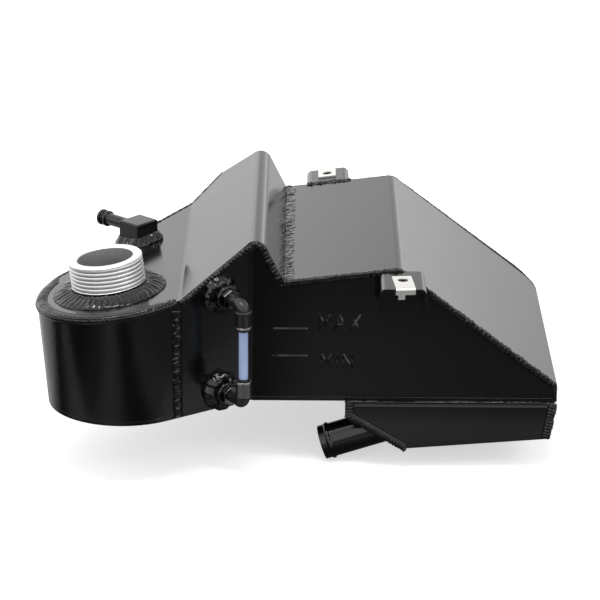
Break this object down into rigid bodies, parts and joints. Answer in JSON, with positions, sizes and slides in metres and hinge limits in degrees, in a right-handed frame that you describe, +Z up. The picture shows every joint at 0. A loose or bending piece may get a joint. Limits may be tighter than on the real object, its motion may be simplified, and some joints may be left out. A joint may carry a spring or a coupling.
{
  "type": "coolant degas bottle",
  "caption": "Welded sheet coolant degas bottle with a threaded filler neck, sight tube, vent nipple, angled hose outlet and bolt-on brackets.",
  "frame": {"origin": "centre of the near clip nut's threaded hole, at the underside of its lower leaf", "axes": "+Z up along the bolt that holds the near bracket, +X along the near face to the short end wall, +Y from the near face to the far face"},
  "size_m": [0.3538, 0.2981, 0.1613],
  "materials": {
    "powder_coat": "gloss black powder coat on aluminium sheet",
    "weld_bead": "rippled weld under gloss black powder coat",
    "machined_aluminium": "bright turned",
    "plated_brass": "nickel plated",
    "fitting_plastic": "moulded, satin black",
    "seal_rubber": "smooth",
    "clear_tube": "clear polyurethane tube",
    "zinc_plate": "zinc plated spring steel"
  },
  "bodies": {
    "bottle": {"near_wall": "powder_coat", "round_end_wall": "powder_coat", "far_wall": "powder_coat", "bottom_plate": "powder_coat", "left_top_plate": "powder_coat", "right_top_plate": "powder_coat", "sump_tray": "powder_coat", "outlet_pipe": "powder_coat", "vent_block": "powder_coat", "vent_nipple": "powder_coat", "upper_bung": "powder_coat", "lower_bung": "powder_coat", "near_bracket": "powder_coat", "far_bracket": "powder_coat", "neck_weld": "weld_bead", "vent_weld": "weld_bead", "upper_bung_weld": "weld_bead", "lower_bung_weld": "weld_bead", "valley_weld": "weld_bead", "front_seam_weld": "weld_bead", "rim_weld": "weld_bead", "near_ramp_weld": "weld_bead", "near_ridge_weld": "weld_bead", "far_ramp_weld": "weld_bead", "near_slope_weld": "weld_bead", "far_slope_weld": "weld_bead", "near_corner_weld": "weld_bead", "sump_left_weld": "weld_bead", "sump_slant_weld": "weld_bead", "sump_right_weld": "weld_bead", "outlet_weld": "weld_bead", "near_bracket_weld": "weld_bead", "far_bracket_weld": "weld_bead", "filler_neck": "machined_aluminium", "upper_stud": "plated_brass", "lower_stud": "plated_brass", "upper_end_ring": "plated_brass", "lower_end_ring": "plated_brass", "upper_elbow": "fitting_plastic", "lower_elbow": "fitting_plastic", "upper_o_ring": "seal_rubber", "lower_o_ring": "seal_rubber", "sight_tube": "clear_tube", "near_clip_nut": "zinc_plate", "far_clip_nut": "zinc_plate"},
    "upper_release_ring": {"upper_release_ring": "fitting_plastic"},
    "lower_release_ring": {"lower_release_ring": "fitting_plastic"}
  },
  "joints": [
    {"name": "upper_release", "type": "slide", "parent": "bottle", "child": "upper_release_ring", "axis": [0, 0, 1], "range_m": [0, 0.0012]},
    {"name": "lower_release", "type": "slide", "parent": "bottle", "child": "lower_release_ring", "axis": [0, 0, -1], "range_m": [0, 0.0012]}
  ]
}
